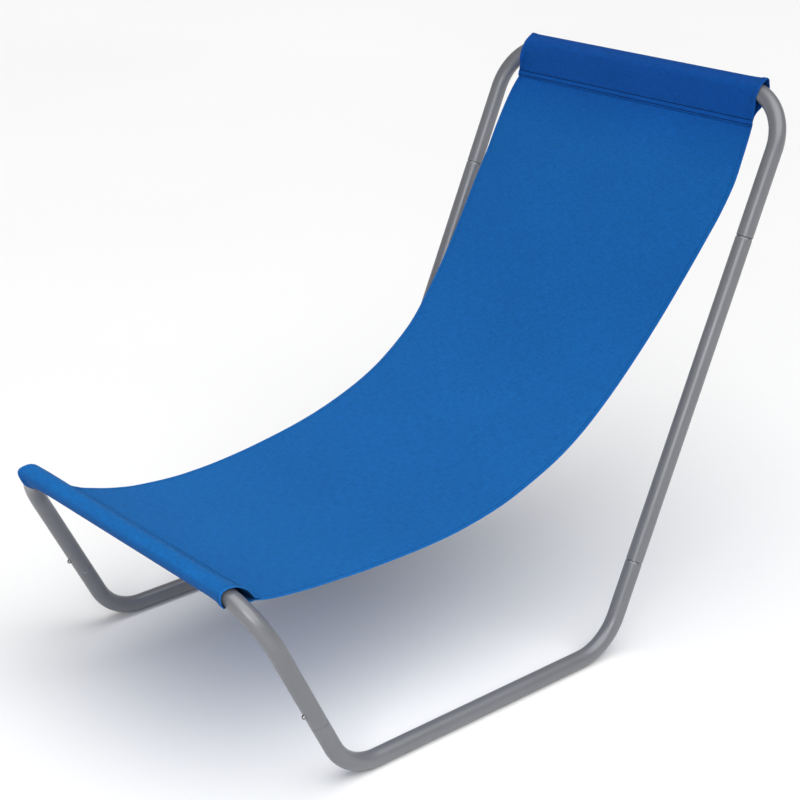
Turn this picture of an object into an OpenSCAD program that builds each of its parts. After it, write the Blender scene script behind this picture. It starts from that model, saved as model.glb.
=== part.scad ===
// Low sling beach chair: a knock-down frame of round steel tube with a cloth sling.
// The sitter faces -Y, so left is +X. The chair stands on z = 0.

/* [Tube] */
// Outside diameter of every frame tube
tube_d = 22; // [19:0.5:25]
// Wall thickness of the tube
tube_wall = 1.0; // [0.8:0.1:1.4]
// Radius of every bend, at the tube's centre line
bend_r = 70; // [55:1:80]
// How much fuller the wall of a bend is, on each face, than the wall of a straight length
bend_swell = 0.05; // [0.05:0.01:0.1]
// Length over which a straight length blends into the wall of a bend
bend_lap = 2; // [1.5:0.1:2.2]

/* [Frame] */
// Width between the centre lines of the two side frames
frame_w = 504; // [440:1:580]
// Length of the floor rails between their two bends, corner to corner
rail_l = 428; // [380:1:480]
// Length of the foot legs, from the floor corner to the foot bar
foot_leg_l = 281; // [262:1:320]
// Lean of the foot legs, forwards from upright
foot_lean = 25.5; // [20:0.5:32]
// Length of the back, from the floor corner to the head bar
back_l = 740; // [690:1:800]
// Lean of the back, backwards from upright
back_lean = 24.5; // [18:0.5:32]

/* [Push-fit joints] */
// Height of the joint in the foot legs, along the leg from the floor corner
foot_joint = 90; // [80:1:100]
// Height of the lower joint in the back, along the back from the floor corner
rear_joint = 120; // [100:1:160]
// Height of the upper joint in the back, along the back from the floor corner
head_joint = 556; // [500:1:590]
// Depth that a reduced tube end reaches into the next tube
socket_depth = 45; // [38:1:55]
// Length of the rounded shoulder below a reduced tube end
shoulder_l = 3; // [2:0.5:5]
// Radial clearance of a reduced end in its socket
socket_clearance = 0.15; // [0.1:0.05:0.3]
// Bevel at the tip of a reduced end
tip_bevel = 0.6; // [0.3:0.1:0.8]

/* [Snap buttons] */
// Diameter of a snap button
button_d = 6; // [5:0.25:7]
// How far a button stands out of the tube
button_proud = 3.5; // [3.2:0.1:5]
// Distance from the seam of the joint up to the button
button_up = 22; // [18:0.5:26]
// Radial clearance of a button in its holes
button_clearance = 0.3; // [0.2:0.05:0.5]
// Diameter of the rivet shank under a button
rivet_d = 3; // [2:0.25:3.5]
// Diameter of the rivet head behind the spring arm
rivet_head_d = 5; // [4.5:0.25:6]
// Thickness of the rivet head
rivet_head_t = 0.8; // [0.5:0.1:1.2]
// Thickness of the spring strip
strip_t = 0.7; // [0.5:0.1:1]
// Width of the spring strip
strip_w = 7; // [6:0.25:8]
// Length of the spring arms from their fold to the button
arm_l = 34; // [28:0.5:38]
// Length of the spring arms past the button
arm_tail = 8; // [5:0.5:12]
// Gap between the moving arm and the fold, and between the strip's edges and the bore
strip_gap = 0.3; // [0.2:0.05:0.5]

/* [Sling cloth] */
// Thickness of the sling cloth
cloth_t = 1.2; // [0.8:0.1:2]
// Clearance between cloth and tube, and between the panel and the head pocket
cloth_gap = 0.3; // [0.2:0.05:0.5]
// Distance from the foot bar's centre to the seam of the foot pocket
foot_seam_reach = 65; // [50:1:80]
// Slope of the foot pocket, below the horizontal
foot_seam_slope = 31.5; // [25:0.5:40]
// Distance from the head bar's centre to the seam of the head pocket
head_seam_reach = 46; // [40:1:60]
// Slope of the head pocket, below the horizontal
head_seam_slope = 74.7; // [68:0.1:80]
// Slope of the cloth where it leaves the foot pocket, below the horizontal
foot_cloth_slope = 10; // [4:0.5:16]
// Slope of the cloth where it meets the head pocket
head_cloth_slope = 57.3; // [52:0.1:62]
// Pull of the foot slope on the sling's curve, as a share of the span
foot_pull = 0.617; // [0.5:0.001:0.68]
// Pull of the head slope on the sling's curve, as a share of the span
head_pull = 0.317; // [0.25:0.001:0.4]

/* [Sling width] */
// Side tube's centre line to the ends of the foot pocket
foot_pocket_inset = 42; // [40:1:60]
// Side tube's centre line to the cloth's edge at the foot seam
foot_inset = 52; // [45:1:70]
// Side tube's centre line to the cloth's edge at the waist, under the thighs
waist_inset = 68; // [55:1:90]
// Side tube's centre line to the cloth's edge at the seat
seat_inset = 59; // [50:1:80]
// Side tube's centre line to the cloth's edge below the head seam
head_inset = 33; // [30:1:60]
// Side tube's centre line to the ends of the head pocket
head_pocket_inset = 38; // [36:1:60]
// How far the cloth sits towards the sitter's right at the foot bar
foot_shift = 5; // [0:0.5:8]
// How far the cloth sits towards the sitter's right at the head bar
head_shift = 11; // [0:0.5:12]

/* [Hidden] */
$fn = 64;

left = 1;
right = -1;
paint = [0.51, 0.51, 0.53];
steel = [0.75, 0.75, 0.76];
cloth = [0.09, 0.35, 0.63];

tube_r = tube_d / 2;
bore_r = tube_r - tube_wall;
spigot_r = bore_r - socket_clearance;
spigot_bore_r = spigot_r - tube_wall;

// Bars at both ends of the chair, seen from the side as [y, z] from the front floor corner
foot_bar_at = [-foot_leg_l * sin(foot_lean), tube_r + foot_leg_l * cos(foot_lean)];
head_bar_at = [rail_l + back_l * sin(back_lean), tube_r + back_l * cos(back_lean)];
middle_y = (foot_bar_at.x + head_bar_at.x) / 2;

// Turn of each floor bend, and the straight length that the bend takes from each side of its corner
foot_turn = 90 - foot_lean;
back_turn = 90 - back_lean;
foot_tangent = bend_r * tan(foot_turn / 2);
back_tangent = bend_r * tan(back_turn / 2);

// Snap buttons
button_at = foot_joint + button_up;
button_hole_r = button_d / 2 + button_clearance;
fold_at = button_at - arm_l;
arm_face = sqrt(pow(spigot_bore_r - strip_gap, 2) - pow(strip_w / 2, 2));
button_top = tube_r + button_proud;

// Sling, seen from the side as [y, z]
sleeve_bore_r = tube_r + cloth_gap;
sleeve_r = sleeve_bore_r + cloth_t;
foot_seam = foot_bar_at + foot_seam_reach * [cos(foot_seam_slope), -sin(foot_seam_slope)];
head_seam = head_bar_at - head_seam_reach * [cos(head_seam_slope), sin(head_seam_slope)];
span = norm(head_seam - foot_seam);
curve_points = [
    foot_seam,
    foot_seam + span * foot_pull * [cos(foot_cloth_slope), -sin(foot_cloth_slope)],
    head_seam - span * head_pull * [cos(head_cloth_slope), sin(head_cloth_slope)],
    head_seam
];
curve_steps = 40;
arc_steps = 20;

// Point and direction of the sling's curve at t, from 0 at the foot seam to 1 at the head seam
function curve_point(t) =
    pow(1 - t, 3) * curve_points[0] + 3 * pow(1 - t, 2) * t * curve_points[1]
    + 3 * (1 - t) * pow(t, 2) * curve_points[2] + pow(t, 3) * curve_points[3];
function curve_way(t) =
    let (way = pow(1 - t, 2) * (curve_points[1] - curve_points[0])
        + 2 * (1 - t) * t * (curve_points[2] - curve_points[1])
        + pow(t, 2) * (curve_points[3] - curve_points[2]))
    way / norm(way);

// Point at a distance to the side of the curve
function beside_curve(t, distance) = curve_point(t) + distance * [-curve_way(t).y, curve_way(t).x];

// Inset of the cloth's edges along the sling, smooth between its stations [t, inset]
inset_stations = [
    [0, foot_inset], [0.13, waist_inset], [0.33, seat_inset], [0.56, seat_inset], [0.92, head_inset], [1, head_inset]
];
function eased(from, to, share) = from + (to - from) * (1 - cos(180 * share)) / 2;
function inset_at(t, i = 0) =
    t <= inset_stations[i + 1][0] || i == len(inset_stations) - 2
    ? eased(inset_stations[i][1], inset_stations[i + 1][1],
        (t - inset_stations[i][0]) / (inset_stations[i + 1][0] - inset_stations[i][0]))
    : inset_at(t, i + 1);
function shift_at(t) = foot_shift + (head_shift - foot_shift) * t;

// Drop-shaped outline of a pocket: an arc round the bar, drawn together at a seam point
function pocket_outline(bar, seam, radius) =
    let (to_seam = atan2(seam.y - bar.y, seam.x - bar.x), opening = acos(radius / norm(seam - bar)))
    concat([seam], [for (i = [0:arc_steps])
        let (a = to_seam + opening + (360 - 2 * opening) * i / arc_steps)
        bar + radius * [cos(a), sin(a)]]);

// Distance by which a pocket's inner outline stays short of its seam
function seam_inset(reach) = cloth_t * reach / sleeve_r;

// The chair's own frame, with the origin under its middle
module chair() {
    translate([0, -middle_y, 0]) children();
}

// A side frame's plane: x runs to the head end, y upwards and z to the sitter's left
module side_plane(side) {
    translate([side * frame_w / 2, 0, 0]) rotate([90, 0, 90]) children();
}

// The plane of the foot legs: y runs up the legs from the floor corners, z points forwards
module foot_plane() {
    translate([0, 0, tube_r]) rotate([90 + foot_lean, 0, 0]) children();
}

// The plane of the back: y runs up the back from the floor corners
module back_plane() {
    translate([0, rail_l, tube_r]) rotate([90 - back_lean, 0, 0]) children();
}

// One tube or rod along the x axis, from one distance to another
module straight(from, to, outer, inner) {
    translate([to, 0, 0]) rotate([0, -90, 0]) linear_extrude(to - from) section(outer, inner);
}

module section(outer, inner) {
    difference() {
        circle(outer);
        if (inner > 0) circle(inner);
    }
}

// A bend that starts at the origin along +x and turns to the left
module bend(turn, outer, inner) {
    translate([0, bend_r, 0]) rotate([0, 0, -90]) rotate_extrude(angle = turn)
        translate([bend_r, 0]) section(outer + bend_swell, inner - bend_swell);
}

// A tube end reduced to slip into the next tube, along +x from the seam at the origin
module spigot() {
    rotate([0, 90, 0]) rotate_extrude() polygon([
        [bore_r, -shoulder_l], [tube_r, -shoulder_l], [spigot_r, 0], [spigot_r, socket_depth - tip_bevel],
        [spigot_r - tip_bevel, socket_depth], [spigot_bore_r, socket_depth], [spigot_bore_r, 0]
    ]);
}

// A U-shaped bar: two legs, each with a bend, and the bar between them
module u_bar(leg_from, leg_l, outer, inner) {
    bar_half = frame_w / 2 - bend_r + bend_lap;
    for (side = [left, right]) {
        mirror([(1 - side) / 2, 0, 0]) translate([frame_w / 2, 0, 0]) rotate([0, 0, 90]) {
            straight(leg_from, leg_l - bend_r + bend_lap, outer, inner);
            translate([leg_l - bend_r, 0, 0]) bend(90, outer, inner);
        }
    }
    translate([0, leg_l, 0]) straight(-bar_half, bar_half, outer, inner);
}

// Holes that a snap button comes through, in the front of a foot leg
module button_hole(side) {
    translate([side * frame_w / 2, button_at, 0]) cylinder(h = tube_d, r = button_hole_r);
}

module head_bar() {
    color(paint) chair() back_plane() u_bar(head_joint, back_l, tube_r, bore_r);
}

module back_tube(side) {
    color(paint) chair() back_plane() translate([side * frame_w / 2, 0, 0]) rotate([0, 0, 90]) {
        straight(rear_joint, head_joint - shoulder_l, tube_r, bore_r);
        translate([head_joint, 0, 0]) spigot();
    }
}

// From the floor corner up a stub: the bend, the straight tube and its reduced end
module stub(turn, tangent, joint) {
    translate([-tangent, 0, 0]) bend(turn, tube_r, bore_r);
    rotate([0, 0, turn]) {
        straight(tangent - bend_lap, joint - shoulder_l, tube_r, bore_r);
        translate([joint, 0, 0]) spigot();
    }
}

module base_rail(side) {
    color(paint) chair() difference() {
        side_plane(side) translate([0, tube_r, 0]) {
            straight(foot_tangent - bend_lap, rail_l - back_tangent + bend_lap, tube_r, bore_r);
            translate([rail_l, 0, 0]) stub(back_turn, back_tangent, rear_joint);
            mirror([1, 0, 0]) stub(foot_turn, foot_tangent, foot_joint);
        }
        foot_plane() button_hole(side);
    }
}

module foot_bar() {
    color(paint) chair() foot_plane() difference() {
        u_bar(foot_joint, foot_leg_l, tube_r, bore_r);
        button_hole(left);
        button_hole(right);
    }
}

// Where a snap spring lies: x across the strip, y up the leg from the fold, z towards the button
module spring_place(side) {
    chair() foot_plane() translate([side * frame_w / 2, fold_at, 0]) children();
}

// An arm of the spring strip between two heights, with its outer face away from the tube's axis
module spring_arm(from, to) {
    translate([-strip_w / 2, from, arm_face - strip_t]) cube([strip_w, to - from, strip_t]);
}

// The half of the snap spring that stays put: its fold and its back arm
module snap_spring(side) {
    color(steel) spring_place(side) {
        rotate([0, 90, 0]) rotate([0, 0, 180]) rotate_extrude(angle = 180)
            translate([arm_face - strip_t, -strip_w / 2]) square([strip_t, strip_w]);
        mirror([0, 0, 1]) spring_arm(0, arm_l + arm_tail);
    }
}

// The front arm of the snap spring, which gives when its button is pressed
module snap_arm(side) {
    color(steel) spring_place(side) difference() {
        spring_arm(strip_gap, arm_l + arm_tail);
        translate([0, arm_l, 0]) cylinder(h = tube_r, r = rivet_d / 2);
    }
}

// A domed button riveted to the front arm
module snap_button(side) {
    dome_at = button_top - button_d / 2;
    color(steel) spring_place(side) translate([0, arm_l, 0]) {
        translate([0, 0, arm_face]) cylinder(h = dome_at - arm_face, r = button_d / 2);
        translate([0, 0, dome_at]) intersection() {
            sphere(d = button_d);
            translate([0, 0, button_d / 2]) cube(button_d, center = true);
        }
        translate([0, 0, arm_face - strip_t]) cylinder(h = strip_t, r = rivet_d / 2);
        translate([0, 0, arm_face - strip_t - rivet_head_t]) cylinder(h = rivet_head_t, r = rivet_head_d / 2);
    }
}

// A side outline carried across the chair between two places
module across(from, to) {
    translate([from, 0, 0]) rotate([90, 0, 90]) linear_extrude(to - from) children();
}

// A sleeve of cloth round a bar and down to its seam
module pocket(bar, seam, from, to) {
    reach = norm(seam - bar);
    inner_seam = seam + (bar - seam) * seam_inset(reach) / reach;
    intersection() {
        difference() {
            union() {
                across(from, to) polygon(pocket_outline(bar, seam, sleeve_r));
                children(0);
            }
            across(from - cloth_t, to + cloth_t) polygon(pocket_outline(bar, inner_seam, sleeve_bore_r));
            children(1);
        }
        across(from, to) translate(bar) circle(reach + sleeve_r);
    }
}

// The sling's panel between its two seams
module panel() {
    last = 1 - (cloth_gap + cloth_t / 2) / span;
    steps = [for (i = [0:curve_steps]) last * i / curve_steps];
    root_depth = 2 * cloth_t;
    root = foot_seam + (foot_bar_at - foot_seam) * root_depth / foot_seam_reach;
    above = [for (t = steps) beside_curve(t, cloth_t / 2)];
    below = [for (i = [curve_steps:-1:0]) beside_curve(steps[i], -cloth_t / 2)];
    edge = [for (t = steps) [frame_w / 2 - inset_at(t), curve_point(t).x, shift_at(t)]];
    intersection() {
        across(-frame_w / 2, frame_w / 2) polygon(concat([root], above, below));
        linear_extrude(head_bar_at.y) polygon(concat(
            [[-edge[0][0] - edge[0][2], root.x], [edge[0][0] - edge[0][2], root.x]],
            [for (e = edge) [e[0] - e[2], e[1]]],
            [for (i = [curve_steps:-1:0]) [-edge[i][0] - edge[i][2], edge[i][1]]]
        ));
    }
}

module sling() {
    end = frame_w / 2 - foot_pocket_inset;
    color(cloth) chair() {
        panel();
        pocket(foot_bar_at, foot_seam, -end - foot_shift, end - foot_shift) {
            foot_plane() u_bar(foot_joint, foot_leg_l, sleeve_r, 0);
            foot_plane() u_bar(foot_joint, foot_leg_l, sleeve_bore_r, 0);
        }
    }
}

module sling_head_pocket() {
    end = frame_w / 2 - head_pocket_inset;
    color(cloth) chair() pocket(head_bar_at, head_seam, -end - head_shift, end - head_shift) {
        back_plane() u_bar(head_joint, back_l, sleeve_r, 0);
        back_plane() u_bar(head_joint, back_l, sleeve_bore_r, 0);
    }
}

head_bar();
back_tube(left);  // back_tube_left
back_tube(right);  // back_tube_right
base_rail(left);  // base_rail_left
base_rail(right);  // base_rail_right
foot_bar();
snap_spring(left);  // snap_spring_left
snap_spring(right);  // snap_spring_right
snap_arm(left);  // snap_arm_left
snap_arm(right);  // snap_arm_right
snap_button(left);  // snap_button_left
snap_button(right);  // snap_button_right
sling();
sling_head_pocket();
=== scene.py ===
"""Dresses the low sling beach chair: painted tubes, steel snap buttons and a sewn cloth sling."""
import math

import bpy
import numpy as np
from mathutils import Matrix, Vector


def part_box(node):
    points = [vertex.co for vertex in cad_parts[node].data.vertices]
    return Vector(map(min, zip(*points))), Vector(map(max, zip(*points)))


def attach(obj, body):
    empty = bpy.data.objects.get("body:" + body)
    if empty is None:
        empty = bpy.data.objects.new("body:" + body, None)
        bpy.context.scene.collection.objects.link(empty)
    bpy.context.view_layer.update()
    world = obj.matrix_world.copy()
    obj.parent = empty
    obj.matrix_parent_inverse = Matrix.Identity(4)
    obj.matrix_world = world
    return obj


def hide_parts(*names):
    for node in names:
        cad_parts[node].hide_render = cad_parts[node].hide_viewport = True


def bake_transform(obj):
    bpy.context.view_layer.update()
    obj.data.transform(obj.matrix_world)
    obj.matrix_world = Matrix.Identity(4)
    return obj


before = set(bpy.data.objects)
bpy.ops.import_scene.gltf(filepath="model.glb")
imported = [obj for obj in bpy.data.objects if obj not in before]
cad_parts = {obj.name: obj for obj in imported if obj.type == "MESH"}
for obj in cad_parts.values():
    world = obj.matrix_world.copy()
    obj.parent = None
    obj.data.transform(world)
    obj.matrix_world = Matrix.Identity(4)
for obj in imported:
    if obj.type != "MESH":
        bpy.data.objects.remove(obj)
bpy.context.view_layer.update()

MM = 0.001
scene = bpy.context.scene


def heading(degrees):
    """Unit direction at an angle, in a plane."""
    return np.array([math.cos(math.radians(degrees)), math.sin(math.radians(degrees))])


# ---------------------------------------------------------------- camera, light, floor

CAMERA_AT = Vector((1.6453, -1.39535, 1.1903))
CAMERA_TURN = 49.87
CAMERA_RISE = 22.13
CAMERA_ROLL = -0.61
CAMERA_LENS = 81.26
FAR_CLIP = 200


def make_camera():
    """A camera at the photograph's place, looking along its line of sight."""
    turn, rise, roll = (math.radians(a) for a in (CAMERA_TURN, CAMERA_RISE, CAMERA_ROLL))
    level = Vector((math.sin(turn), -math.cos(turn), 0))
    back = level * math.cos(rise) + Vector((0, 0, math.sin(rise)))
    right = (-back).cross(Vector((0, 0, 1))).normalized()
    up = right.cross(-back)
    across = right * math.cos(roll) + up * math.sin(roll)
    above = up * math.cos(roll) - right * math.sin(roll)
    camera = bpy.data.objects.new("camera", bpy.data.cameras.new("camera"))
    camera.data.lens = CAMERA_LENS
    camera.data.sensor_width = 36
    camera.data.clip_end = FAR_CLIP
    facing = Matrix((across, above, back)).transposed().to_4x4()
    camera.matrix_world = Matrix.Translation(CAMERA_AT) @ facing
    scene.collection.objects.link(camera)
    scene.camera = camera


# Lights: the sun's way to it, its spread in degrees and its strength, and the softboxes' names,
# places, widths and heights, and powers in watts
SUN_WAY = (0.4, -0.1, 0.92)
SUN_SPREAD = 75
SUN_STRENGTH = 3.03
SOFTBOXES = [
    ("front_box", (0.6, -3.3, 1.7), (2.4, 1.6), 1),
    ("side_box", (2.4, -2.7, 1.7), (1.9, 1.4), 44),
]
CHAIR_MIDDLE = (0, 0, 0.35)

# The studio round the chair: (height as a share of the sky, grey) near the floor and above
WORLD_LOW = (0.06, 0.5)
WORLD_HIGH = (0.34, 0.24)

FLOOR_RADIUS = 70.0
FLOOR_DROP = 0.1 * MM


def make_light(name, place, size, power):
    """A rectangular softbox that faces the chair."""
    data = bpy.data.lights.new(name, "AREA")
    data.shape = "RECTANGLE"
    data.size, data.size_y = size
    data.energy = power
    light = bpy.data.objects.new(name, data)
    light.location = place
    way = Vector(CHAIR_MIDDLE) - Vector(place)
    light.rotation_euler = way.to_track_quat("-Z", "Y").to_euler()
    scene.collection.objects.link(light)


def make_sun():
    """A far softbox: parallel light from a wide round patch of the ceiling."""
    data = bpy.data.lights.new("key_light", "SUN")
    data.angle = math.radians(SUN_SPREAD)
    data.energy = SUN_STRENGTH
    light = bpy.data.objects.new("key_light", data)
    light.rotation_euler = Vector(SUN_WAY).to_track_quat("Z", "Y").to_euler()
    scene.collection.objects.link(light)


def make_world():
    """A pale studio round the chair: bright near the floor, dimmer higher up."""
    world = bpy.data.worlds.new("studio")
    world.use_nodes = True
    tree = world.node_tree
    parts = tree.nodes.new("ShaderNodeSeparateXYZ")
    tree.links.new(tree.nodes.new("ShaderNodeTexCoord").outputs["Generated"], parts.inputs[0])
    ramp = tree.nodes.new("ShaderNodeValToRGB")
    tree.links.new(parts.outputs["Z"], ramp.inputs["Fac"])
    for element, (height, grey) in zip(ramp.color_ramp.elements, (WORLD_LOW, WORLD_HIGH)):
        element.position, element.color = height, (grey, grey, grey, 1)
    tree.links.new(ramp.outputs["Color"], tree.nodes["Background"].inputs["Color"])
    scene.world = world


def make_studio():
    """A wide key light, a faint front box, a side box for the tubes' highlights, and a sky."""
    make_sun()
    for box in SOFTBOXES:
        make_light(*box)
    make_world()
    scene.view_settings.view_transform = "Standard"


def make_floor():
    """A round pale floor that fades into the pale world."""
    rings, spokes = 8, 64
    points = [(0, 0, 0)]
    faces = []
    for ring in range(1, rings + 1):
        reach = FLOOR_RADIUS * (ring / rings) ** 2
        turns = [math.tau * i / spokes for i in range(spokes)]
        points += [(reach * math.cos(turn), reach * math.sin(turn), 0) for turn in turns]
        first = 1 + (ring - 1) * spokes
        for i in range(spokes):
            a, b = first + i, first + (i + 1) % spokes
            faces.append((0, a, b) if ring == 1 else (a - spokes, a, b, b - spokes))
    mesh = bpy.data.meshes.new("floor")
    mesh.from_pydata(points, [], faces)
    floor = bpy.data.objects.new("floor", mesh)
    floor.location.z = -FLOOR_DROP
    scene.collection.objects.link(floor)
    floor.data.materials.append(floor_material())


# ---------------------------------------------------------------- materials

class Shader:
    """A new material with short ways to add and join nodes."""

    def __init__(self, name, color, roughness, metallic=0.0, **sockets):
        self.material = bpy.data.materials.new(name)
        self.material.use_nodes = True
        self.tree = self.material.node_tree
        self.bsdf = self.tree.nodes["Principled BSDF"]
        self.material.diffuse_color = (*color, 1)
        self.set("Base Color", (*color, 1))
        self.set("Roughness", roughness)
        self.set("Metallic", metallic)
        for socket, value in sockets.items():
            self.set(socket.replace("_", " "), value)

    def set(self, socket, value):
        self.bsdf.inputs[socket].default_value = value

    def add(self, kind, **settings):
        """A new node with its properties and inputs set by name."""
        node = self.tree.nodes.new("ShaderNode" + kind)
        for name, value in settings.items():
            if hasattr(node, name):
                setattr(node, name, value)
            else:
                self.give(node, name, value)
        return node

    def give(self, node, socket, value):
        """Sets an input, or joins another node's output to it."""
        found = [i for i in node.inputs if i.identifier == socket or i.name == socket]
        if isinstance(value, bpy.types.NodeSocket):
            self.tree.links.new(value, found[0])
        else:
            found[0].default_value = value

    def math(self, operation, a, b=0.0):
        node = self.add("Math", operation=operation)
        self.give(node, "Value", a)
        self.give(node, "Value_001", b)
        return node.outputs[0]

    def total(self, *values):
        """The sum of (value, weight) pairs."""
        parts = [self.math("MULTIPLY", value, weight) for value, weight in values]
        result = parts[0]
        for part in parts[1:]:
            result = self.math("ADD", result, part)
        return result

    def noise(self, scale, detail=2.0, vector=None):
        """Cloudy noise, on the object's own coordinates unless a vector is given."""
        node = self.add("TexNoise", Scale=scale, Detail=detail)
        if vector is None:
            vector = self.add("TexCoord").outputs["Object"]
        self.give(node, "Vector", vector)
        return node.outputs["Fac"]

    def ramp(self, value, *stops):
        """A colour that changes with a value, from stops of (place, colour)."""
        node = self.add("ValToRGB")
        self.give(node, "Fac", value)
        while len(node.color_ramp.elements) < len(stops):
            node.color_ramp.elements.new(0.5)
        for element, (place, color) in zip(node.color_ramp.elements, stops):
            element.position = place
            element.color = (*color, 1)
        return node.outputs["Color"]

    def span(self, value, low, high, to_low=0.0, to_high=1.0):
        """A value carried from one range to another."""
        node = self.add("MapRange")
        sockets = ("Value", "From Min", "From Max", "To Min", "To Max")
        for socket, number in zip(sockets, (value, low, high, to_low, to_high)):
            self.give(node, socket, number)
        return node.outputs[0]

    def mix(self, share, a, b):
        """From colour a to colour b by a share."""
        node = self.add("Mix", data_type="RGBA")
        self.give(node, "Factor_Float", share)
        for socket, value in (("A_Color", a), ("B_Color", b)):
            self.give(node, socket, (*value, 1) if isinstance(value, tuple) else value)
        return next(o for o in node.outputs if o.identifier == "Result_Color")

    def bump(self, height, distance, strength):
        node = self.add("Bump", Strength=strength, Distance=distance, Height=height)
        return node.outputs["Normal"]

    def to(self, socket, value):
        """Joins an output to the surface's socket."""
        self.tree.links.new(value, self.bsdf.inputs[socket])


def shades(color, *factors):
    """The same colour, darker or lighter by each factor."""
    return [tuple(c * f for c in color) for f in factors]


FLOOR = (0.84, 0.84, 0.84)


def floor_material():
    """Pale studio paper, very faintly cloudy."""
    shader = Shader("floor_paper", FLOOR, 0.9)
    dark, light = (tuple(c + change for c in FLOOR) for change in (-0.01, 0.01))
    shader.to("Base Color", shader.ramp(shader.noise(0.7, 2), (0.3, dark), (0.7, light)))
    return shader.material


# Colours, as linear light. The cloth's run from the palest place to the deepest is painted light
# and shade
PAINT = (0.16, 0.164, 0.179)
STEEL = (0.56, 0.55, 0.53)
CHROME = (0.3, 0.3, 0.3)
# Painted light: the cloth paler and greener on the seat and the foot pocket's top
PAINTED_LIGHT_CLOTH = (0.0058, 0.109, 0.355)
CLOTH = (0.0052, 0.098, 0.328)
# Painted shade: the cloth deeper on the upper back, the head pocket's face, over the head bar and
# under the foot bar
BACK_PAINTED_SHADE = (0.0036, 0.091, 0.318)
POCKET_PAINTED_SHADE = (0.0006, 0.062, 0.286)
OVER_BAR_PAINTED_SHADE = (0.001, 0.044, 0.22)
UNDER_FOOT_PAINTED_SHADE = (0.002, 0.062, 0.25)
THREAD = (0.0005, 0.006, 0.045)
HEM_THREAD = (0.003, 0.07, 0.27)


# The frame from the side: where the rails' bends would meet the floor line, the tubes' leans
# from upright, and how far up its tube each push-fit joint lies
TUBE_R = 11 * MM
FRONT_Y, REAR_Y = -306.95 * MM, 121.05 * MM
FOOT_LEAN, BACK_LEAN = 25.5, 24.5
FOOT_JOINT, REAR_JOINT, HEAD_JOINT = 90 * MM, 120 * MM, 556 * MM

# How far from a joint's ring its scuffs and its dirt and painted shade reach, and how near in y a
# point belongs to it
SCUFF_REACH = 2.6 * MM
DIRT_AND_SHADE_REACH = 0.9 * MM
RING_SPAN = 20 * MM


def ring(base_y, up, turn):
    """(a joint's middle, its tube's direction) from the side."""
    way = heading(turn)
    return np.array([base_y, TUBE_R]) + up * way, way


RINGS = [
    ring(FRONT_Y, FOOT_JOINT, 90 + FOOT_LEAN),
    ring(REAR_Y, REAR_JOINT, 90 - BACK_LEAN),
    ring(REAR_Y, HEAD_JOINT, 90 - BACK_LEAN),
]


def paint_material():
    """Grey powder coat: fine orange peel, faint cloudiness, scuffs where the tube ends rub, and a
    dark band of dirt and painted shade at each joint.
    """
    shader = Shader(
        "grey_powder_coat", PAINT, 0.34, metallic=0.22,
        Coat_Weight=0.1, Coat_Roughness=0.3,
    )
    dark, light, worn, grime_and_shade = shades(PAINT, 0.94, 1.07, 1.7, 0.45)
    color = shader.ramp(shader.noise(9, 3), (0.3, dark), (0.7, light))
    parts = shader.add("SeparateXYZ", Vector=shader.add("TexCoord").outputs["Object"])
    y, z = parts.outputs[1], parts.outputs[2]
    scuff = shader.span(shader.noise(380, 3), 0.5, 0.62)
    for middle, way in RINGS:
        up = shader.math("SUBTRACT", shader.total((y, way[0]), (z, way[1])), float(middle @ way))
        away = shader.math("ABSOLUTE", up)
        beside = shader.math("ABSOLUTE", shader.math("SUBTRACT", y, float(middle[0])))
        here = shader.math("LESS_THAN", beside, RING_SPAN)
        edge = shader.math("MULTIPLY", shader.span(away, SCUFF_REACH, 0.4 * MM), here)
        # A dark band at each joint's ring: dirt, and painted shade where the tube's end shades the
        # gap
        seam = shader.math("MULTIPLY", shader.span(away, DIRT_AND_SHADE_REACH, 0.3 * MM), here)
        color = shader.mix(shader.math("MULTIPLY", edge, scuff), color, worn)
        color = shader.mix(shader.math("MULTIPLY", seam, 0.85), color, grime_and_shade)
    shader.to("Base Color", color)
    shader.to("Roughness", shader.span(shader.noise(26, 4), 0.3, 0.7, 0.29, 0.39))
    shader.to("Normal", shader.bump(shader.noise(650, 2), 0.03 * MM, 0.25))
    return shader.material


def steel_material(name, color, roughness, grain):
    """Bare steel with fine drawn lines."""
    shader = Shader(name, color, roughness, metallic=1.0)
    stretch = shader.add("Mapping")
    shader.give(stretch, "Vector", shader.add("TexCoord").outputs["Object"])
    shader.give(stretch, "Scale", (grain, 60, 60))
    lines = shader.noise(1, 3, vector=stretch.outputs[0])
    dark, light = shades(color, 0.85, 1.1)
    shader.to("Base Color", shader.ramp(lines, (0.3, dark), (0.7, light)))
    shader.to("Roughness", shader.span(lines, 0.3, 0.7, roughness * 0.8, roughness * 1.25))
    shader.to("Normal", shader.bump(lines, 0.02 * MM, 0.3))
    return shader.material


WEAVE_PITCH = 1.1 * MM

# Uneven yarns: (noise cells per metre across the chair, along the sling)
WARP_YARNS = (520, 90, 1)
WEFT_YARNS = (80, 430, 1)
YARN_DARK, YARN_LIGHT = 0.74, 1.26
TONE_SPAN = (0.415, 1.065)


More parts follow.
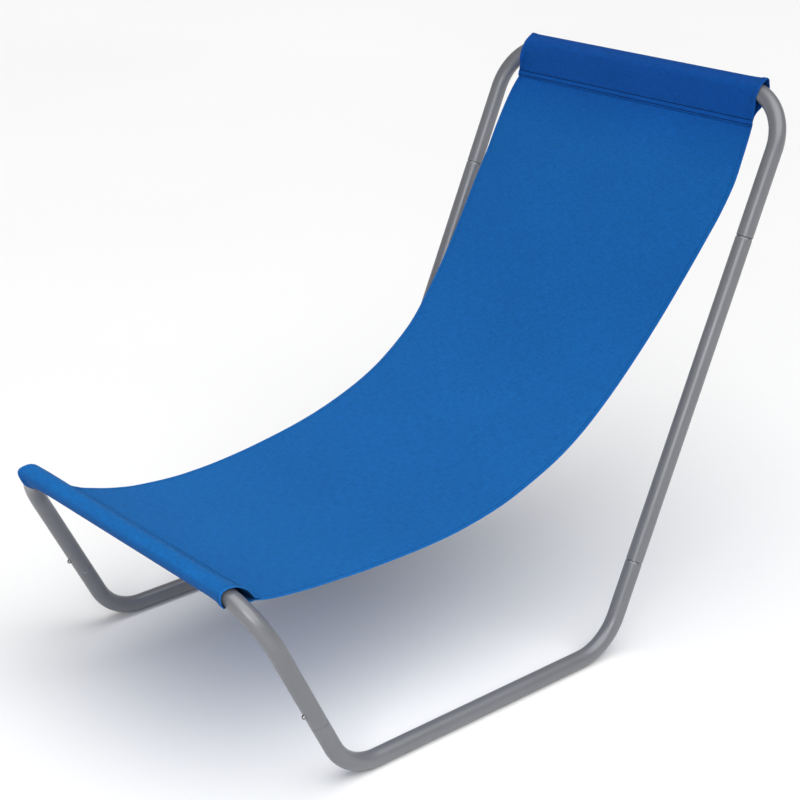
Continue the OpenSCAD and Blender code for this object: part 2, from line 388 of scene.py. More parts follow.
def painted_light_and_shade():
    """(distance along the sling, colour): painted light and shade, palest on the seat, deep where
    it is turned under.
    """
    foot_front = FOOT_ROWS[0] + FOOT_SEAM_REACH + 0.5 * math.pi * WRAP_R
    start, end = PANEL
    return [
        (foot_front, PAINTED_LIGHT_CLOTH), (foot_front + 10 * MM, UNDER_FOOT_PAINTED_SHADE),
        (start - 40 * MM, UNDER_FOOT_PAINTED_SHADE), (start - 10 * MM, PAINTED_LIGHT_CLOTH),
        (start + 100 * MM, PAINTED_LIGHT_CLOTH), (start + 260 * MM, CLOTH),
        (end - 450 * MM, CLOTH), (end - 250 * MM, BACK_PAINTED_SHADE), (end - 80 * MM, BACK_PAINTED_SHADE),
        (end + 20 * MM, POCKET_PAINTED_SHADE), (end + 45 * MM, OVER_BAR_PAINTED_SHADE),
        (TOTAL - 66 * MM, OVER_BAR_PAINTED_SHADE), (TOTAL - 44 * MM, POCKET_PAINTED_SHADE),
    ]


def cloth_material():
    """Plain-woven polyester: raised threads, uneven yarns, a soft sheen, painted light and shade
    along its length and painted shade along its rows of stitches.
    """
    shader = Shader(
        "blue_sling_cloth", CLOTH, 0.78, Specular_IOR_Level=0.12,
        Sheen_Weight=0.09, Sheen_Roughness=0.45, Sheen_Tint=(0.2, 0.66, 1.0, 1),
    )
    place = shader.add("UVMap", uv_map="cloth").outputs[0]
    parts = shader.add("SeparateXYZ", Vector=place)
    turns = math.tau / WEAVE_PITCH
    across = shader.math("SINE", shader.math("MULTIPLY", parts.outputs[0], turns))
    along = shader.math("SINE", shader.math("MULTIPLY", parts.outputs[1], turns))
    weave = shader.math("MULTIPLY", across, along)
    yarns = []
    for scale in (WARP_YARNS, WEFT_YARNS):
        stretched = shader.add("Mapping", Vector=place)
        shader.give(stretched, "Scale", scale)
        yarns.append(shader.noise(1, 2, vector=stretched.outputs[0]))
    warp, weft = yarns
    clouds = shader.noise(7, 3, vector=place)
    tone = shader.total((weave, 0.10), (warp, 0.63), (weft, 0.63), (clouds, 0.22))
    # The yarns' colours follow painted light and shade along the sling: paler on the seat, deeper
    # on the back, the head pocket and under the foot bar
    share = shader.math("DIVIDE", parts.outputs[1], TOTAL)
    dark, light = (
        shader.ramp(share, *[(run / TOTAL, shades(color, factor)[0]) for run, color in painted_light_and_shade()])
        for factor in (YARN_DARK, YARN_LIGHT)
    )
    yarn = shader.mix(shader.span(tone, *TONE_SPAN), dark, light)
    worn = shader.add("Attribute", attribute_name="worn").outputs["Fac"]
    yarn = shader.mix(shader.math("MULTIPLY", worn, 0.14), yarn, shades(CLOTH, 1.9)[0])
    # The 'seam' attribute is painted shade along the rows of stitches and the side hems' rows
    seam = shader.add("Attribute", attribute_name="seam").outputs["Fac"]
    shader.to("Base Color", shader.mix(seam, yarn, shades(CLOTH, 0.06)[0]))
    shader.to("Roughness", shader.span(weave, -1, 1, 0.84, 0.72))
    height = shader.math("ADD", weave, shader.math("MULTIPLY", warp, 0.8))
    shader.to("Normal", shader.bump(height, 0.09 * MM, 0.6))
    return shader.material


def thread_material(name, color):
    """Twisted sewing thread."""
    shader = Shader(name, color, 0.9, Specular_IOR_Level=0.03)
    twist = shader.noise(2600, 2)
    dark, light = shades(color, 0.7, 1.4)
    shader.to("Base Color", shader.ramp(twist, (0.35, dark), (0.65, light)))
    shader.to("Normal", shader.bump(twist, 0.05 * MM, 0.6))
    return shader.material


# ---------------------------------------------------------------- the sling's side line

CLOTH_T = 0.7 * MM
TUBE_GAP = 0.25 * MM
LAYER_GAP = 0.1 * MM
WRAP_R = TUBE_R + TUBE_GAP + CLOTH_T / 2

# Seams of the two pockets, by distance and slope from the bar's centre, and the cloth's slope there
FOOT_SEAM_REACH, FOOT_SEAM_SLOPE, FOOT_CLOTH_SLOPE = 65 * MM, 31.5, 10.0
HEAD_SEAM_REACH, HEAD_SEAM_SLOPE, HEAD_CLOTH_SLOPE = 46 * MM, 74.7, 57.3
FOOT_PULL, HEAD_PULL = 0.617, 0.317
ROW_GAP = 6.3 * MM
HEM_PAST_ROW = 2.2 * MM
END_HEM = 11 * MM
SIDE_HEM = 8.5 * MM
SIDE_ROW = 6 * MM
HEAD_RIDGE = 4.3 * MM

# The side line's spacing, how softly it bends at the seams and at the flaps, and how far the
# flaps' sewn bands reach past their second row
LINE_STEP = 0.5 * MM
SEAM_BEND = 5 * MM
FOLD_BEND = 1.4 * MM
BAND_MARGIN = 1.5 * MM

foot_low, foot_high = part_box("foot_bar")
head_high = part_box("head_bar")[1]
FOOT_BAR = np.array([foot_low.y + TUBE_R, foot_high.z - TUBE_R])
HEAD_BAR = np.array([head_high.y - TUBE_R, head_high.z - TUBE_R])


def angle_of(vector):
    """Its direction in degrees."""
    return math.degrees(math.atan2(vector[1], vector[0]))


# The panel from its foot seam to its head seam: share of its length, its rise off a plain curve,
# and the places of its left and right edges across the chair, in millimetres
PANEL_TABLE = np.array([
    (0.00, 0.0, 186, -212.5), (0.013, -0.4, 186.8, -204), (0.025, -0.8, 186.5, -199.5),
    (0.04, -1.2, 185.2, -194.5), (0.08, -1.9, 182, -189), (0.13, -1.7, 179.2, -188.8),
    (0.19, -0.3, 180, -191.2), (0.25, 1.2, 183.2, -195), (0.31, 1.9, 186.3, -198.3),
    (0.38, 1.1, 186.7, -199.8), (0.44, -0.3, 185, -200.4), (0.51, -2.1, 184.7, -200.4),
    (0.58, -0.7, 185.6, -200.7), (0.66, 1.0, 189.2, -209), (0.76, 0.5, 196.9, -220.6),
    (0.84, -0.8, 205.1, -228.0), (0.88, -1.3, 209.4, -229.4), (0.92, -0.4, 211.6, -231.0),
    (0.96, 0.6, 208.2, -230.2), (1.00, 0.5, 202, -226.6),
])

# The same two edges round each pocket, by distance in from the hem at the end of the cloth
FOOT_POCKET_EDGES = [
    (0, 185.5, -203), (8.5, 187, -207), (22, 193.5, -212.5), (40, 203.5, -213),
    (58, 211.5, -213), (72, 215, -216), (80, 213.5, -220), (85, 212, -224.5),
    (89, 212.4, -226), (92, 213, -224), (96, 213.5, -220), (100, 213, -218.5),
    (108, 206.5, -218), (130, 199, -217), (150, 193.5, -214),
]
HEAD_POCKET_EDGES = [
    (2, 202.5, -227.4), (6, 201, -228.6), (10, 200.3, -229), (14, 201.5, -227.8),
    (27, 204.2, -223.4), (40, 206, -219.8), (48, 209.3, -217.5), (57, 209.7, -216),
    (70, 210, -217), (80, 207.5, -218), (95, 205.5, -218.5), (109, 204.7, -220.5),
    (118, 200.6, -223), (124, 199.2, -225), (131, 200, -226),
]

FOOT_SEAM = FOOT_BAR + FOOT_SEAM_REACH * heading(-FOOT_SEAM_SLOPE)
HEAD_SEAM = HEAD_BAR - HEAD_SEAM_REACH * heading(HEAD_SEAM_SLOPE)


def left_of(way):
    """Directions turned a quarter to the left: towards the sitter."""
    return np.stack([-way[..., 1], way[..., 0]], -1)


def ways(points):
    """Unit direction of a line at each of its points."""
    way = np.gradient(points, axis=0)
    return way / np.linalg.norm(way, axis=1)[:, None]


def lengths(points):
    """Distance along a line to each of its points."""
    return np.concatenate([[0], np.cumsum(np.linalg.norm(np.diff(points, axis=0), axis=1))])


def spaced(points, step):
    """The same line with points a step apart."""
    run = lengths(points)
    at = np.linspace(0, run[-1], max(2, round(run[-1] / step) + 1))
    return np.stack([np.interp(at, run, points[:, i]) for i in range(2)], 1)


def hermite(at, x, y):
    """A smooth curve through known values that never overshoots them."""
    slope = np.diff(y) / np.diff(x)
    product = slope[1:] * slope[:-1]
    inner = np.where(product > 0, 2 * product / (slope[1:] + slope[:-1] + 1e-12), 0)
    grade = np.concatenate([[slope[0]], inner, [slope[-1]]])
    i = np.clip(np.searchsorted(x, at) - 1, 0, len(x) - 2)
    gap = x[i + 1] - x[i]
    t = (at - x[i]) / gap
    return (
        (2 * t ** 3 - 3 * t ** 2 + 1) * y[i] + (t ** 3 - 2 * t ** 2 + t) * gap * grade[i]
        + (3 * t ** 2 - 2 * t ** 3) * y[i + 1] + (t ** 3 - t ** 2) * gap * grade[i + 1]
    )


def panel_line():
    """The panel between its seams: one curve that leaves each pocket at the cloth's slope."""
    span = np.linalg.norm(HEAD_SEAM - FOOT_SEAM)
    knots = [
        FOOT_SEAM,
        FOOT_SEAM + span * FOOT_PULL * heading(-FOOT_CLOTH_SLOPE),
        HEAD_SEAM - span * HEAD_PULL * heading(HEAD_CLOTH_SLOPE),
        HEAD_SEAM,
    ]
    t = np.linspace(0, 1, 801)[:, None]
    shares = ((1 - t) ** 3, 3 * (1 - t) ** 2 * t, 3 * (1 - t) * t ** 2, t ** 3)
    curve = sum(share * knot for share, knot in zip(shares, knots))
    run = lengths(curve)
    rise = hermite(run / run[-1], *PANEL_TABLE[:, :2].T)
    return curve + left_of(ways(curve)) * rise[:, None] * MM


def tangent(bar, point, side):
    """Angle at the bar's centre where a line from the point touches the cloth's wrap."""
    away = point - bar
    return angle_of(away) + side * math.degrees(math.acos(WRAP_R / np.linalg.norm(away)))


def wrap(bar, start, end, ridge):
    """The cloth's line round a bar, anticlockwise, drawn up to a ridge opposite its seam."""
    lean = math.degrees(math.acos(WRAP_R / (WRAP_R + ridge)))
    turns = np.linspace(start, end, 121)
    tilts = np.clip(lean - np.abs(turns - (start + end) / 2), 0, None)
    reaches = [WRAP_R / math.cos(math.radians(tilt)) for tilt in tilts]
    return np.array([bar + reach * heading(turn) for turn, reach in zip(turns, reaches)])


def sling_line():
    """The sling's middle line from the foot flap's hem, round both bars, to the head flap's."""
    step = LINE_STEP
    lift = 2 * CLOTH_T + 1.5 * LAYER_GAP
    under, behind = tangent(FOOT_BAR, FOOT_SEAM, -1), tangent(HEAD_BAR, HEAD_SEAM, 1)
    foot_run = spaced(np.array([FOOT_BAR + WRAP_R * heading(under), FOOT_SEAM]), step)
    head_run = spaced(np.array([HEAD_SEAM, HEAD_BAR + WRAP_R * heading(behind)]), step)
    main = np.concatenate([foot_run[:-1], spaced(panel_line(), step), head_run[1:]])
    main = smoothed(main, SEAM_BEND / step)
    run = lengths(main)
    above = main + left_of(ways(main)) * lift
    past_foot = run - run[np.linalg.norm(main - FOOT_SEAM, axis=1).argmin()]
    past_head = run - run[np.linalg.norm(main - HEAD_SEAM, axis=1).argmin()]
    band = ROW_GAP + BAND_MARGIN
    foot_band = above[(past_foot > -band) & (past_foot < HEM_PAST_ROW)][::-1]
    head_band = above[(past_head < band) & (past_head > -HEM_PAST_ROW)][::-1]
    foot_wrap = wrap(FOOT_BAR, tangent(FOOT_BAR, foot_band[-1], 1), under + 360, 0)
    head_wrap = wrap(HEAD_BAR, behind, tangent(HEAD_BAR, head_band[0], -1) + 360, HEAD_RIDGE)
    line = np.concatenate([foot_band, foot_wrap, main[1:-1], head_wrap, head_band])
    return smoothed(spaced(line, step), FOLD_BEND / step)


def smoothed(points, width):
    """A line with its corners rounded, by a Gaussian of that many points, and its ends kept."""
    reach = int(3 * width) + 1
    weights = np.exp(-0.5 * (np.arange(-reach, reach + 1) / width) ** 2)
    weights /= weights.sum()
    ends = [2 * points[0] - points[reach:0:-1], points, 2 * points[-1] - points[-2:-reach - 2:-1]]
    long = np.concatenate(ends)
    return np.stack([np.convolve(long[:, i], weights, "valid") for i in range(2)], 1)


LINE = sling_line()
RUN = lengths(LINE)
WAY = ways(LINE)
TOTAL = RUN[-1]


def nearest(point, low=0.0, high=TOTAL):
    """Distance along the sling's line of the point of it nearest to a place."""
    gap = np.linalg.norm(LINE - point, axis=1)
    gap[(RUN < low) | (RUN > high)] = np.inf
    return RUN[gap.argmin()]


# The stitch rows, by distance along the line: on each flap, and where they come through under it
FOOT_ROWS = [HEM_PAST_ROW, HEM_PAST_ROW + ROW_GAP]
HEAD_ROWS = [TOTAL - row for row in FOOT_ROWS]
PAST_FOOT_BAR = FOOT_ROWS[1] + 100 * MM
BEFORE_HEAD_BAR = HEAD_ROWS[1] - 60 * MM
FOOT_UNDER = [nearest(LINE[np.searchsorted(RUN, row)], low=PAST_FOOT_BAR) for row in FOOT_ROWS]
HEAD_UNDER = [
    nearest(LINE[np.searchsorted(RUN, row) - 1], high=BEFORE_HEAD_BAR) for row in HEAD_ROWS
]
ALL_ROWS = FOOT_UNDER + HEAD_UNDER + FOOT_ROWS + HEAD_ROWS
PANEL = (FOOT_UNDER[0], HEAD_UNDER[0])


def on_line(run):
    """(points, directions) of the sling's line at distances along it."""
    point = np.stack([np.interp(run, RUN, LINE[:, i]) for i in range(2)], -1)
    way = np.stack([np.interp(run, RUN, WAY[:, i]) for i in range(2)], -1)
    return point, way / np.linalg.norm(way, axis=-1)[..., None]


# ---------------------------------------------------------------- the sling's outline across

def edge_stations():
    """(distances along the line, near edge, far edge) where the cloth's outline is known."""
    start, end = PANEL
    known = [(run * MM, near, far) for run, near, far in FOOT_POCKET_EDGES]
    known += [(start + share * (end - start), near, far) for share, _, near, far in PANEL_TABLE]
    known += [(TOTAL - run * MM, near, far) for run, near, far in reversed(HEAD_POCKET_EDGES)]
    return [np.array(column, float) for column in zip(*known)]


STATIONS = edge_stations()


def edges_at(run):
    """The cloth's (near, far) edges across the chair at distances along the line."""
    place, near, far = STATIONS
    return hermite(run, place, near) * MM, hermite(run, place, far) * MM


# ---------------------------------------------------------------- the sling's relief

def bell(distance, width):
    """1 at no distance, falling smoothly to nothing about two widths away."""
    return np.exp(-(distance / width) ** 2)


def ease(value):
    """A smooth step from 0 to 1."""
    value = np.clip(value, 0, 1)
    return value * value * (3 - 2 * value)


SEAT_SAG = 3.0 * MM
SEAM_FADE = 20 * MM
EDGE_CURL = 0.2 * MM
PUCKER = 0.22 * MM
FOLD = 0.9 * MM
FOLD_WAVER = 50 * MM

# Soft folds that run out of a seam: (seam, share of FOLD, spacing across, shift, waver, reach)
FOLDS = [
    ("head", 1.0, 21 * MM, 0.0, 0.6, 50 * MM),
    ("head", 0.7, 34 * MM, 1.3, 0.0, 110 * MM),
    ("foot", 0.8, 27 * MM, 2.1, 0.0, 60 * MM),
]

# The pockets' open ends: how far the flap arches, the wrap flares, the ridge's corner and the
# hem's corner stand out, and the share of it all on the far side
MOUTH_LIFT = 3.8 * MM
MOUTH_FLARE = 2.0 * MM
CORNER_RIDGE = 1.0 * MM
HEM_GAPE = 1.2 * MM
FAR_MOUTH = 0.15

# Where along the line the foot flap meets its bar, the flare grows and dies away, the ridge over
# the head bar lies in from its rows, and the gape of the hem is widest
FLAP_END = 70 * MM
FLARE_START, FLARE_GROWTH = 68 * MM, 22 * MM
FLARE_END, FLARE_DECAY = 118 * MM, 25 * MM
RIDGE_BEFORE_ROWS = 60.5 * MM
GAPE_AT = 7 * MM


def relief(run, x, edge):
    """How far the cloth's middle surface stands off its side line, towards the sitter."""
    start, end = PANEL
    share = np.clip((run - start) / (end - start), 0, 1)
    near, far = edges_at(run)
    across = (2 * x - near - far) / (near - far)
    sag = -SEAT_SAG * np.sin(math.pi * share) ** 2 * (1 - across ** 2)
    away = {"head": np.abs(run - end), "foot": np.abs(run - start)}
    on_panel = ease((run - start) / SEAM_FADE) * ease((end - run) / SEAM_FADE)
    folds = sum(
        share * np.sin(x / gap + shift + waver * np.sin(run / FOLD_WAVER))
        * np.exp(-away[seam] / reach)
        for seam, share, gap, shift, waver, reach in FOLDS
    )
    edge_curl = -EDGE_CURL * bell(edge, 12 * MM) * on_panel
    beside_row = sum(bell(run - row, 6 * MM) for row in ALL_ROWS)
    pucker = PUCKER * beside_row * np.sin(x / (2.4 * MM) + 1.7 * np.sin(x / (11 * MM)))
    pucker *= ease(edge / (10 * MM))
    return sag + FOLD * folds * on_panel + edge_curl + pucker - mouths(run, x, edge)


def mouths(run, x, edge):
    """How far the pockets' open ends stand out: arched flap, flared wrap, raised ridge."""
    flap_share = np.clip((run - FOOT_ROWS[1]) / (FLAP_END - FOOT_ROWS[1]), 0, 1)
    round_foot = ease((run - FLARE_START) / FLARE_GROWTH) * ease((FLARE_END - run) / FLARE_DECAY)
    ridge = HEAD_ROWS[1] - RIDGE_BEFORE_ROWS
    side = np.where(x > 0, 1.0, FAR_MOUTH)
    return side * (
        MOUTH_LIFT * np.sin(math.pi * flap_share) * bell(edge, 32 * MM)
        + HEM_GAPE * bell(run - GAPE_AT, 6 * MM) * bell(edge, 7 * MM)
        + MOUTH_FLARE * round_foot * bell(edge, 16 * MM)
        + CORNER_RIDGE * bell(run - ridge, 9 * MM) * bell(edge, 15 * MM)
    )


GROOVE_DEPTH = 0.32 * MM
GROOVE_WIDTH = 0.9 * MM
PUFF_HEIGHT = 0.35 * MM
PUFF_BESIDE = 3.2 * MM
HEM_DENT = 0.7
HEM_DENT_WIDTH = 0.8 * MM
EDGE_ROUND = 0.6 * MM
FLAP_MARGIN = 20 * MM
SLACK_SEAM = 0.15
SLACK_SPAN = 250 * MM


def tightness(run, x):
    """How hard the seams are sewn, up to 1: the foot seam goes slack to the sitter's right."""
    foot = SLACK_SEAM + (1 - SLACK_SEAM) * ease(0.5 + x / SLACK_SPAN)
    return np.where(run < TOTAL / 2, foot, 1)


def groove(run, x, edge):
    """Depth of the valleys that the thread pulls into the cloth, from 0 to 1."""
    seams = tightness(run, x) * sum(bell(run - row, GROOVE_WIDTH) for row in ALL_ROWS)
    return np.clip(seams + HEM_DENT * bell(edge - SIDE_ROW, HEM_DENT_WIDTH), 0, 1)


def puff(run):
    """Swell of a flap's cloth between and beside its two rows of stitches."""
    between = [sum(FOOT_ROWS) / 2, sum(HEAD_ROWS) / 2]
    beside = [FOOT_ROWS[1] + PUFF_BESIDE, HEAD_ROWS[1] - PUFF_BESIDE]
    swell = sum(bell(run - row, 1.9 * MM) for row in between)
    return swell + 0.6 * sum(bell(run - row, 2.2 * MM) for row in beside)


def rounding(edge):
    """Share of the cloth's thickness that is left at a distance from its rounded edge."""
    return np.sqrt(np.clip(1 - (1 - np.clip(edge / EDGE_ROUND, 0, 1)) ** 2, 0, 1))


def skins(run, x, edge):
    """Distances of the face and of the back from the middle surface, along the face's normal."""
    from_end = np.minimum(run, TOTAL - run)
    side_hem = ease((SIDE_HEM - edge) / (0.5 * MM) + 0.5)
    end_hem = ease((END_HEM - from_end) / (0.8 * MM) + 0.5)
    flap = (run < FOOT_ROWS[1] + FLAP_MARGIN) | (run > HEAD_ROWS[1] - FLAP_MARGIN)
    on_panel = (run > PANEL[0]) & (run < PANEL[1])
    face = CLOTH_T / 2 + CLOTH_T * end_hem
    back = -CLOTH_T / 2 - CLOTH_T * side_hem
    back += GROOVE_DEPTH * groove(run, x, edge)
    back -= np.where(flap, PUFF_HEIGHT * tightness(run, x) * puff(run), 0)
    hem_dent = HEM_DENT * bell(edge - SIDE_ROW, HEM_DENT_WIDTH)
    face -= np.where(on_panel, GROOVE_DEPTH * hem_dent, 0)
    centre = (face + back) / 2
    rounded = np.minimum(rounding(edge), rounding(from_end))
    return centre + (face - centre) * rounded, centre + (back - centre) * rounded


def placed(run, x, off):
    """Points in space, from distances along the line, across the chair and off the line."""
    point, way = on_line(run)
    spot = point + left_of(way) * off[..., None]
    return np.stack([x, spot[..., 0], spot[..., 1]], -1)


BAR_HALF = 182 * MM
BEND_R = 70 * MM
BEND_STEPS, REST_STEPS = 60, 40
FOOT_LEG, HEAD_LEG = heading(FOOT_LEAN - 90), heading(-BACK_LEAN - 90)


def settled(points, free, bar, leg):
    """Pushes a pocket's free rows clear of its bar where that bends away down its legs.

    The bar bends a little further at each step, and the cloth's moves are smoothed after each push.
    """
    beyond = np.clip(np.abs(points[..., 0]) - BAR_HALF, 0, 0.9 * BEND_R)
    drop = BEND_R - np.sqrt(BEND_R ** 2 - beyond ** 2)
    squeeze = np.sqrt(1 - (beyond / BEND_R) ** 2)
    beside = np.array([-leg[1], leg[0]])
    move = np.zeros(points.shape[:2] + (2,))
    hold = ease(free)[:, None, None]
    for share in np.concatenate([np.linspace(0, 1, BEND_STEPS), np.ones(REST_STEPS)]):
        move = grid_blur(move) * hold
        away = points[..., 1:] + move - bar - share * drop[..., None] * leg
        down, out = away @ leg * squeeze, away @ beside
        gap = np.hypot(down, out)
        push = np.maximum(WRAP_R / np.maximum(gap, 1e-6) - 1, 0)
        move += (push * down / squeeze)[..., None] * leg + (push * out)[..., None] * beside
    result = points.copy()
    result[..., 1:] += move * (hold > 0)
    return result


def grid_blur(move):
    """Each move drawn towards those beside it."""
    long = np.concatenate([move[:1], move, move[-1:]])
    move = (long[:-2] + 2 * move + long[2:]) / 4
    wide = np.concatenate([move[:, :1], move, move[:, -1:]], 1)
    return (wide[:, :-2] + 2 * move + wide[:, 2:]) / 4


# The mesh's rows: their spacing at the stitches, round the bars and on the panel, how near a row
# of stitches is fine, and how fast the spacing grows from there
FINE_STEP = 0.45 * MM
WRAP_STEP = 2.4 * MM
PANEL_STEP = 6 * MM
FINE_REACH = 2.4 * MM
STEP_GROWTH = 0.5
HEM_OFFSETS = [0, 0.12 * MM, 0.3 * MM, 0.6 * MM]

# The mesh's columns: close ones, by distance in from each edge, and even ones between them
CLOSE_COLUMNS = np.array([
    0, 0.12, 0.35, 0.6, 1.5, 3, 4.4, 5.2, 5.6, 6, 6.4, 6.8, 7.6, 8.2, 8.8, 10, 13, 18, 24,
]) * MM
EVEN_COLUMNS = 62


def along_stations():
    """Distances along the line where the cloth's mesh has a row of points."""
    stations = list(HEM_OFFSETS)
    while stations[-1] < TOTAL:
        here = stations[-1]
        to_row = min(abs(here - row) for row in ALL_ROWS)
        widest = PANEL_STEP if PANEL[0] <= here <= PANEL[1] else WRAP_STEP
        step = FINE_STEP + max(0, to_row - FINE_REACH) * STEP_GROWTH
        stations.append(here + min(widest, step))
    last = [TOTAL - offset for offset in reversed(HEM_OFFSETS)]
    stations = np.array([s for s in stations if s < last[0] - 0.2 * MM] + last)
    for row in sorted(ALL_ROWS):
        stations[np.abs(stations - row).argmin()] = row
    return stations


# How free of its rows a pocket is: fully, once the distances to both of them multiply to this
FREE = 12 * MM * 40 * MM


class Skin:
    """The sling's cloth as a grid: its middle surface, its normals, and its face and back."""

    def __init__(self):
        self.runs = along_stations()
        close = CLOSE_COLUMNS
        self.row_column = int(np.abs(close - SIDE_ROW).argmin())
        near, far = (edge[:, None] for edge in edges_at(self.runs))
        shares = np.linspace(0, 1, EVEN_COLUMNS + 2)[1:-1]
        even = far + close[-1] + (near - far - 2 * close[-1]) * shares
        self.x = np.concatenate([far + close, even, near - close[::-1]], 1)
        self.edge = np.minimum(self.x - far, near - self.x)
        self.run = np.repeat(self.runs[:, None], self.x.shape[1], 1)
        middle = placed(self.run, self.x, relief(self.run, self.x, self.edge))
        foot = (self.runs - FOOT_ROWS[1]) * (FOOT_UNDER[1] - self.runs)
        head = (self.runs - HEAD_UNDER[1]) * (HEAD_ROWS[1] - self.runs)
        middle = settled(middle, foot / FREE, FOOT_BAR, FOOT_LEG)
        middle = settled(middle, head / FREE, HEAD_BAR, HEAD_LEG)
        normal = np.cross(np.gradient(middle, axis=1), np.gradient(middle, axis=0))
        self.normal = normal / np.linalg.norm(normal, axis=2)[..., None]
        face, back = skins(self.run, self.x, self.edge)
        self.face = middle + self.normal * face[..., None]
        self.back = middle + self.normal * back[..., None]

    def row(self, run, on_back):
        """(points, normals) of the row of the grid at a distance along the line."""
        return self.line((int(np.abs(self.runs - run).argmin()), slice(None)), on_back)

    def hem(self, side, low, high, on_back):
        """(points, normals) along a side hem between two distances along the line."""
        column = self.row_column if side < 0 else self.x.shape[1] - 1 - self.row_column
        span = np.searchsorted(self.runs, (low, high))
        return self.line((slice(*span), column), on_back)

    def line(self, place, on_back):
        """(points, outward normals) at a place of the grid, on one of the skins."""
        skin = self.back if on_back else self.face
        return skin[place], self.normal[place] * (-1 if on_back else 1)


# Painted shade along the rows of stitches and the side hems' rows: its width, and its strength on
# the hem rows
PAINTED_SHADE_WIDTH = 0.5 * MM
HEM_PAINTED_SHADE = 0.25


def sling_mesh(skin):
    """The sling as one closed skin: face, back and the rounded edges between them."""
    rows, columns = skin.x.shape
    count = rows * columns
    points = np.concatenate([skin.face.reshape(-1, 3), skin.back.reshape(-1, 3)])
    faces = []
    for i in range(rows - 1):
        for j in range(columns - 1):
            a, d = i * columns + j, (i + 1) * columns + j
            quad = (a, a + 1, d + 1, d)
            faces += [quad, tuple(count + corner for corner in reversed(quad))]
    grid = np.arange(count).reshape(rows, columns)
    sides = [grid[0], grid[1:, -1], grid[-1, -2::-1], grid[-2:0:-1, 0]]
    rim = np.concatenate(sides).tolist()
    for a, b in zip(rim, rim[1:] + rim[:1]):
        faces.append((b, a, count + a, count + b))
    mesh = bpy.data.meshes.new("sling_cloth")
    mesh.from_pydata(points.tolist(), [], faces)
    layer = mesh.uv_layers.new(name="cloth")
    flat = np.stack([skin.x, skin.run], -1).reshape(-1, 2)
    corners = np.array([loop.vertex_index for loop in mesh.loops]) % count
    layer.data.foreach_set("uv", flat[corners].reshape(-1))
    # Painted shade: the cloth near-black along the rows of stitches, where the thread pulls it into
    # grooves, thinner where the foot seam is sewn slack, and fainter along the side hems' rows
    painted_row_shade = sum(bell(skin.run - row, PAINTED_SHADE_WIDTH) for row in FOOT_ROWS + HEAD_ROWS)
    seams = tightness(skin.run, skin.x) * painted_row_shade
    hems = HEM_PAINTED_SHADE * bell(skin.edge - SIDE_ROW, PAINTED_SHADE_WIDTH)
    fold = bell(skin.edge - 0.3 * MM, 0.4 * MM)
    for name, face, back in (("seam", hems, seams + hems), ("worn", fold, fold)):
        shade = mesh.attributes.new(name, "FLOAT", "POINT")
        both = np.concatenate([face.reshape(-1), back.reshape(-1)])
        shade.data.foreach_set("value", np.clip(both, 0, 1).astype(np.float32))
    mesh.shade_smooth()
    mesh.validate()
    return mesh


def cut_size(runs):
    """(widest width, length, area) of the flat cut, its folded hems opened out."""
    near, far = edges_at(runs)
    wide = near - far + 2 * SIDE_HEM
    area = float(np.sum((wide[1:] + wide[:-1]) / 2 * np.diff(runs)))
    area += END_HEM * float(wide[0] + wide[-1])
    return float(wide.max()), float(TOTAL + 2 * END_HEM), area


# ---------------------------------------------------------------- stitches

STITCH = 3.0 * MM
STITCH_ENDS = (0.07, 0.93)
THREAD_R = 0.32 * MM
STITCH_SIDES = 5
STITCH_RINGS = 5

# A stitch in thread radii: how far its middle bows up, how deep it sinks, and its ends' girth
STITCH_BOW, STITCH_SINK, END_GIRTH = 1.1, 0.75, 0.55


def stitch_row(points, normals):
    """Separate short stitches along a line of points, each dipping into the cloth at its ends."""
    run = lengths(points)
    count = max(1, round(run[-1] / STITCH))
    vertices, faces = [], []
    for k in range(count):
        at = (k + np.linspace(*STITCH_ENDS, STITCH_RINGS)) * run[-1] / count
        spot = np.stack([np.interp(at, run, points[:, i]) for i in range(3)], 1)
        normal = np.stack([np.interp(at, run, normals[:, i]) for i in range(3)], 1)
        normal /= np.linalg.norm(normal, axis=1)[:, None]
        bow = np.sin(math.pi * np.linspace(0, 1, STITCH_RINGS))
        spot = spot + normal * (THREAD_R * (STITCH_BOW * bow - STITCH_SINK))[:, None]
        way = np.gradient(spot, axis=0)
        way /= np.linalg.norm(way, axis=1)[:, None]
        side = np.cross(way, normal)
        girth = THREAD_R * (END_GIRTH + (1 - END_GIRTH) * bow)
        first = len(vertices)
        for ring in range(STITCH_RINGS):
            for s in range(STITCH_SIDES):
                turn = math.tau * s / STITCH_SIDES
                over = np.cross(side[ring], way[ring])
                out = side[ring] * math.cos(turn) + over * math.sin(turn)
                vertices.append(spot[ring] + out * girth[ring])
        for ring in range(STITCH_RINGS - 1):
            for s in range(STITCH_SIDES):
                a = first + ring * STITCH_SIDES + s
                b = first + ring * STITCH_SIDES + (s + 1) % STITCH_SIDES
                faces.append((a, b, b + STITCH_SIDES, a + STITCH_SIDES))
        last = first + (STITCH_RINGS - 1) * STITCH_SIDES
        faces.append(tuple(first + s for s in reversed(range(STITCH_SIDES))))
        faces.append(tuple(last + s for s in range(STITCH_SIDES)))
    return vertices, faces


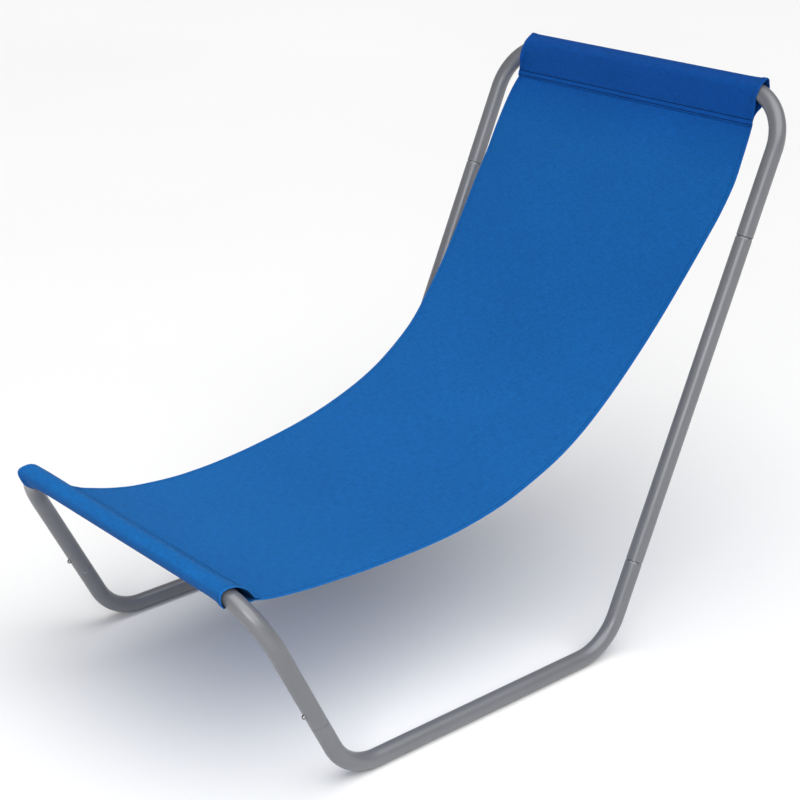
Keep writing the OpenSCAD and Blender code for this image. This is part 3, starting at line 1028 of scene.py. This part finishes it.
def stitches(name, rows, material):
    """One piece made of several rows of stitches."""
    vertices, faces = [], []
    for row in rows:
        more, joined = stitch_row(*row)
        faces += [tuple(i + len(vertices) for i in face) for face in joined]
        vertices += more
    mesh = bpy.data.meshes.new(name)
    mesh.from_pydata([tuple(v) for v in vertices], [], faces)
    mesh.shade_smooth()
    piece = bpy.data.objects.new(name, mesh)
    piece.data.materials.append(material)
    scene.collection.objects.link(piece)
    return piece


# ---------------------------------------------------------------- putting it together

# How far in from each end of the cloth the side hems' stitches stop
HEM_ENDS = 2 * MM


def make_sling():
    """The sling and its stitches: the foot rows go with the frame and the head rows with the head
    bar.
    """
    skin = Skin()
    sling = bpy.data.objects.new("sling_cloth", sling_mesh(skin))
    sling.data.materials.append(cloth_material())
    scene.collection.objects.link(sling)
    thread = thread_material("navy_thread", THREAD)
    foot, head = (
        stitches(name, [skin.row(row, True) for row in rows], thread)
        for name, rows in (
            ("foot_seam_stitches", FOOT_ROWS + FOOT_UNDER),
            ("head_seam_stitches", HEAD_ROWS + HEAD_UNDER),
        )
    )
    hems = stitches("side_hem_stitches", [
        *[skin.hem(side, HEM_ENDS, TOTAL - HEM_ENDS, True) for side in (-1, 1)],
        *[skin.hem(side, *PANEL, False) for side in (-1, 1)],
    ], thread_material("blue_thread", HEM_THREAD))
    for piece in (sling, hems):
        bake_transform(piece)
    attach(foot, "chair_frame")
    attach(head, "head_bar_assembly")
    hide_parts("sling", "sling_head_pocket")
    width, length, area = cut_size(skin.runs)
    print("sling cut: %.4f x %.4f m, %.4f m2" % (width, length, area))


def dress_frame():
    """Gives every tube and spring its finish."""
    paint = paint_material()
    spring = steel_material("spring_steel", STEEL, 0.34, 900)
    button = steel_material("button_chrome", CHROME, 0.14, 300)
    finishes = {"snap_spring": spring, "snap_arm": spring, "snap_button": button}
    for name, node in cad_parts.items():
        material = next((m for start, m in finishes.items() if name.startswith(start)), paint)
        for place in node.material_slots:
            place.material = material


make_camera()
make_studio()
make_floor()
dress_frame()
make_sling()
